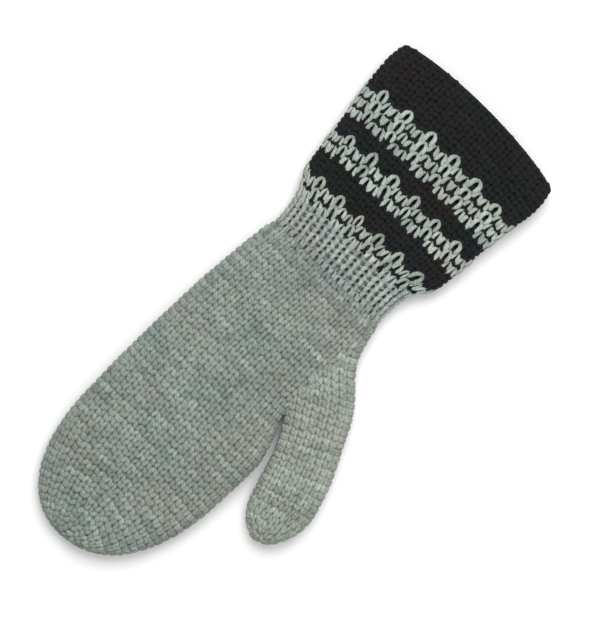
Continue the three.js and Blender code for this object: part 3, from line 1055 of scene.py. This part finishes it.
def wool_material(name, group, wool, warm, cool, dive, sheen=0.08):
    material, surface, graph = new_material(name, roughness=0.92)
    spun = graph.add("ShaderNodeGroup", node_tree=group)
    spun.inputs["Wool"].default_value = srgb(wool)
    spun.inputs["Warm Tint"].default_value = srgb(warm)
    spun.inputs["Cool Tint"].default_value = srgb(cool)
    # painted shade: how much darker the yarn is coloured where it dives under its neighbours
    spun.inputs["Dive Shade"].default_value = dive
    relief = {"Height": spun.outputs["Height"], "Strength": 0.5, "Distance": 0.25 * MM}
    graph.feed(surface.inputs["Base Color"], spun.outputs["Color"])
    graph.feed(surface.inputs["Normal"], graph.add("ShaderNodeBump", relief))
    surface.inputs["Sheen Weight"].default_value = sheen
    surface.inputs["Sheen Roughness"].default_value = 0.5
    surface.inputs["Specular IOR Level"].default_value = 0.2
    return material


def core_material(name, colour):
    """The wool between and behind the stitches, coloured darker than their yarn as painted shade."""
    material, surface, graph = new_material(name, roughness=0.95)
    where = graph.add("ShaderNodeTexCoord").outputs["Object"]
    fuzz = graph.noise(where, FUZZ_PER_METRE, 4.0)
    grey = graph.grey(graph.math("MULTIPLY_ADD", fuzz, FUZZ_SHADE, LEAST_FUZZ))
    relief = {"Height": fuzz, "Strength": 0.6, "Distance": 0.4 * MM}
    graph.feed(surface.inputs["Base Color"], graph.mix(1.0, srgb(colour), grey, "MULTIPLY"))
    graph.feed(surface.inputs["Normal"], graph.add("ShaderNodeBump", relief))
    surface.inputs["Specular IOR Level"].default_value = 0.1
    return material


# The wall of yarn behind the stitches

CORE_DEPTH = 1.7 * MM
RIB_CORE_DEPTH = 2.6 * MM
WELD = 0.001 * MM
MIDDLE = Vector((-19 * MM, 0.0, 9 * MM))
NEAR_MIDDLE = 7 * MM
THUMB_MIDDLE_HEIGHT = 8 * MM
THUMB_MIDDLES = spine_points()


def core(name, node, material, centre_of, depth):
    """A copy of a solid whose outer skin lies back under the stitches."""
    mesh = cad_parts[node].data.copy()
    mesh.name = name
    piece = new_object(name, mesh)
    shape = bmesh.new()
    shape.from_mesh(mesh)
    bmesh.ops.remove_doubles(shape, verts=shape.verts, dist=WELD)
    bmesh.ops.recalc_face_normals(shape, faces=shape.faces)
    shape.normal_update()
    for vertex in shape.verts:
        outward = vertex.co - centre_of(vertex.co)
        if vertex.normal.dot(outward) > 0:
            vertex.co -= vertex.normal * depth
    shape.to_mesh(mesh)
    shape.free()
    mesh.materials.clear()
    mesh.materials.append(material)
    for face in mesh.polygons:
        face.use_smooth = True
    return piece


def middle_of_hand(point):
    """A place within the flat tube, a little nearer to its middle line than the point."""
    across = point.x - MIDDLE.x
    inward = math.copysign(min(abs(across), NEAR_MIDDLE), across)
    return Vector((point.x - inward, point.y, MIDDLE.z))


def middle_of_thumb(point):
    """The nearest place on the middle line of thumb and gusset."""
    flat = np.array([point.x, point.y])
    nearest = THUMB_MIDDLES[np.argmin(np.linalg.norm(THUMB_MIDDLES - flat, axis=1))]
    return Vector((nearest[0], nearest[1], THUMB_MIDDLE_HEIGHT))


# The pieces

body = read_body()
thumb = read_thumb()
knit = stitch_tree("knit_stitches", KNIT_SIZES, sides=8, points=6, shape=knit_stitch)
purl = stitch_tree("purl_bumps", PURL_SIZES, sides=6, points=7, shape=purl_bump)
hair = stitch_tree("wool_hairs", FIBRE_SIZES, sides=3, points=4, shape=fibre)
wool = wool_group()

# Each wool has a main colour, a warm tint, a cool one, and the painted shade where its yarn dives
grey_wool = wool_material("grey_wool", wool, (138, 148, 139), (146, 145, 137), (131, 143, 140), 0.5)
rib_wool = wool_material("rib_wool", wool, (158, 168, 160), (160, 160, 155), (147, 159, 163), 0.4)
thumb_wool = wool_material("thumb_wool", wool, (149, 158, 148), (154, 153, 146), (145, 156, 143), 0.1)
light_wool = wool_material("light_wool", wool, (163, 173, 162), (166, 166, 159), (152, 168, 162), 0.3)
dark_wool = wool_material("dark_wool", wool, (25, 27, 27), (33, 26, 23), (20, 29, 33), 0.2, sheen=0.02)
# the cores' colours are darker than their wool: painted shade between and behind the stitches
grey_core = core_material("grey_core", (104, 112, 104))
thumb_core = core_material("thumb_core", (128, 137, 127))
rib_core = core_material("rib_core", (90, 97, 92))
dark_core = core_material("dark_core", (12, 13, 13))

# How the stitches of a piece differ from the defaults of their tree
PLAIN = {}
COLUMN = {
    "Leg Rows": 2.3,
    "Point Gap": 0.03,
    "Open Gap": 0.42,
    "Roundness": 0.85,
    "Arch": 0.9 * MM,
    "Yarn Radius": 1.08 * MM,
    "Points": 9,
}
PAIR = {
    "Leg Rows": 2.35,
    "Point Gap": 0.08,
    "Open Gap": 0.42,
    "Roundness": 0.5,
    "Arch": 1.05 * MM,
    "Yarn Radius": 1.1 * MM,
    "Points": 8,
}
RIB = {
    "Leg Rows": 1.4,
    "Roundness": 0.85,
    "Yarn Radius": 1.15 * MM,
    "Points": 8,
}
RIM = {"Yarn Radius": 1.25 * MM, "Bump Width": 1.15 * STITCH_WIDTH}

parts = body_places(body)
thumb_part = thumb_places(thumb)
grey_hairs = hair_places([parts["rib_knit"], parts["hand_back"], thumb_part])
dark_hairs = hair_places([parts["cuff_dark"]])

PIECES = [
    ("cuff_dark_knit", parts["cuff_dark"], knit, PLAIN, dark_wool, "cuff", "dark_wool"),
    ("cuff_column_knit", parts["cuff_columns"], knit, COLUMN, light_wool, "cuff", "grey_wool"),
    ("cuff_pair_knit", parts["cuff_pairs"], knit, PAIR, light_wool, "cuff", "grey_wool"),
    ("cuff_mouth_edge", mouth_places(body), purl, RIM, dark_wool, "cuff", "dark_wool"),
    ("cuff_inside_purl", inside_places(body), purl, PLAIN, dark_wool, "cuff", "dark_wool"),
    ("rib_knit", parts["rib_knit"], knit, RIB, rib_wool, "wrist_rib", "grey_rib"),
    ("rib_purl", parts["rib_purl"], purl, PLAIN, rib_wool, "wrist_rib", "grey_rib"),
    ("hand_back_knit", parts["hand_back"], knit, PLAIN, grey_wool, "hand", "grey_wool"),
    ("hand_palm_knit", parts["hand_palm"], knit, PLAIN, grey_wool, "hand", "grey_wool"),
    ("thumb_knit", thumb_part, knit, PLAIN, thumb_wool, "thumb", "grey_wool"),
    ("grey_hairs", grey_hairs, hair, PLAIN, grey_wool, "hand", "grey_wool"),
    ("dark_hairs", dark_hairs, hair, PLAIN, dark_wool, "cuff", "dark_wool"),
]
for name, places, tree, sizes, material, node, slot in PIECES:
    piece = stitches(name, places, tree, sizes, material)
    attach(piece, "root")
    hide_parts(node)

CORES = [
    ("cuff_core", "cuff", dark_core, middle_of_hand, CORE_DEPTH, "dark_wool"),
    ("rib_core", "wrist_rib", rib_core, middle_of_hand, RIB_CORE_DEPTH, "grey_rib"),
    ("hand_core", "hand", grey_core, middle_of_hand, CORE_DEPTH, "grey_wool"),
    ("thumb_core", "thumb", thumb_core, middle_of_thumb, CORE_DEPTH, "grey_wool"),
]
for name, node, material, centre_of, depth, slot in CORES:
    piece = core(name, node, material, centre_of, depth)
    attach(piece, "root")
    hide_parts(node)


# Floor, light and camera

PHOTO_HEIGHT = 640
PIXEL = 0.53 * MM
CAMERA_HEIGHT = 1.6
EDGE_HEIGHT = 14 * MM  # height of the outline, where the picture's scale holds
VIEW_MIDDLE = Vector((-5.5 * MM, 13.0 * MM, 0.0))
VIEW_TURN = math.radians(45)
FLOOR_SIZE = 6
FLOOR_WHITE = (0.88, 0.88, 0.88, 1)
WORLD_LIGHT = 0.42

bpy.ops.mesh.primitive_plane_add(size=FLOOR_SIZE)
floor = bpy.context.object
floor.name = "floor"
pale, pale_surface, _ = new_material("pale_floor", roughness=0.9)
pale_surface.inputs["Base Color"].default_value = FLOOR_WHITE
floor.data.materials.append(pale)

camera_data = bpy.data.cameras.new("camera")
camera = new_object("camera", camera_data)
camera.location = VIEW_MIDDLE + UP * CAMERA_HEIGHT
camera.rotation_euler = Euler((0.0, 0.0, VIEW_TURN))
camera_data.angle = 2 * math.atan(PHOTO_HEIGHT * PIXEL / 2 / (CAMERA_HEIGHT - EDGE_HEIGHT))
bpy.context.scene.camera = camera


def soft_light(name, place, size, power):
    data = bpy.data.lights.new(name, "AREA")
    data.size = size
    data.energy = power
    light = new_object(name, data)
    light.location = place
    light.rotation_euler = (-Vector(place)).to_track_quat("-Z", "Y").to_euler()


soft_light("window", place=(-0.4, 0.75, 1.35), size=1.2, power=24)
soft_light("fill", place=(0.8, -0.6, 1.7), size=1.5, power=13)
world = bpy.data.worlds.new("world")
world.use_nodes = True
background = world.node_tree.nodes["Background"]
background.inputs["Color"].default_value = (1, 1, 1, 1)
background.inputs["Strength"].default_value = WORLD_LIGHT
bpy.context.scene.world = world
bpy.context.scene.view_settings.view_transform = "Standard"
